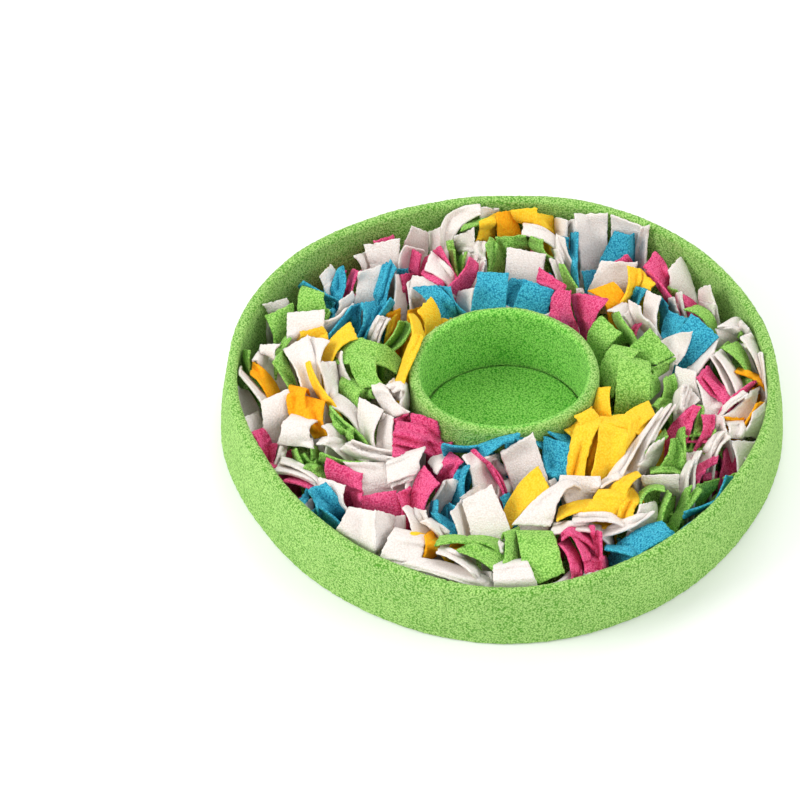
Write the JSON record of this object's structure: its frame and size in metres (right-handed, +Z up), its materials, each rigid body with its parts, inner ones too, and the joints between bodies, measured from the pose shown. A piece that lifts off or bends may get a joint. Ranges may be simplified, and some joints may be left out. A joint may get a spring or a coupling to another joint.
{
  "type": "snuffle mat",
  "caption": "Round pet foraging mat: a padded green fleece ring wall, a fleece-covered bowl ring in the middle and rows of loose fleece strips in mixed colours between them.",
  "frame": {"origin": "on the floor, at the middle of the mat's underside", "axes": "+Z up, out of the bowl's mouth; +Y away from the camera of the picture, +X to its right"},
  "size_m": [0.4631, 0.4619, 0.0675],
  "materials": {
    "fleece_green": "pilled polar fleece, matt",
    "fleece_white": "pilled polar fleece, matt",
    "fleece_blue": "pilled polar fleece, matt",
    "fleece_pink": "pilled polar fleece, matt",
    "fleece_yellow": "pilled polar fleece, matt"
  },
  "bodies": {
    "root": {"base_panel": "fleece_green", "outer_wall": "fleece_green", "cup_wall": "fleece_green", "cup_floor": "fleece_green", "bunch_first_01": "fleece_green", "bunch_first_02": "fleece_green", "bunch_first_03": "fleece_blue", "bunch_first_04": "fleece_yellow", "bunch_first_05": "fleece_green", "bunch_first_06": "fleece_white", "bunch_first_07": "fleece_pink", "bunch_first_08": "fleece_blue", "bunch_first_09": "fleece_yellow", "bunch_second_01": "fleece_white", "bunch_second_02": "fleece_green", "bunch_second_03": "fleece_pink", "bunch_second_04": "fleece_blue", "bunch_second_05": "fleece_blue", "bunch_second_06": "fleece_green", "bunch_second_07": "fleece_white", "bunch_second_08": "fleece_white", "bunch_second_09": "fleece_pink", "bunch_second_10": "fleece_white", "bunch_second_11": "fleece_yellow", "bunch_second_12": "fleece_white", "bunch_third_01": "fleece_pink", "bunch_third_02": "fleece_blue", "bunch_third_03": "fleece_white", "bunch_third_04": "fleece_blue", "bunch_third_05": "fleece_pink", "bunch_third_06": "fleece_white", "bunch_third_07": "fleece_blue", "bunch_third_08": "fleece_white", "bunch_third_09": "fleece_yellow", "bunch_third_10": "fleece_pink", "bunch_third_11": "fleece_white", "bunch_third_12": "fleece_white", "bunch_third_13": "fleece_white", "bunch_third_14": "fleece_green", "bunch_third_15": "fleece_white", "bunch_outer_01": "fleece_yellow", "bunch_outer_02": "fleece_white", "bunch_outer_03": "fleece_white", "bunch_outer_04": "fleece_pink", "bunch_outer_05": "fleece_white", "bunch_outer_06": "fleece_yellow", "bunch_outer_07": "fleece_white", "bunch_outer_08": "fleece_pink", "bunch_outer_09": "fleece_green", "bunch_outer_10": "fleece_white", "bunch_outer_11": "fleece_white", "bunch_outer_12": "fleece_pink", "bunch_outer_13": "fleece_blue", "bunch_outer_14": "fleece_white", "bunch_outer_15": "fleece_green", "bunch_outer_16": "fleece_pink", "bunch_outer_17": "fleece_blue", "bunch_outer_18": "fleece_green", "bunch_outer_19": "fleece_white"}
  },
  "joints": []
}
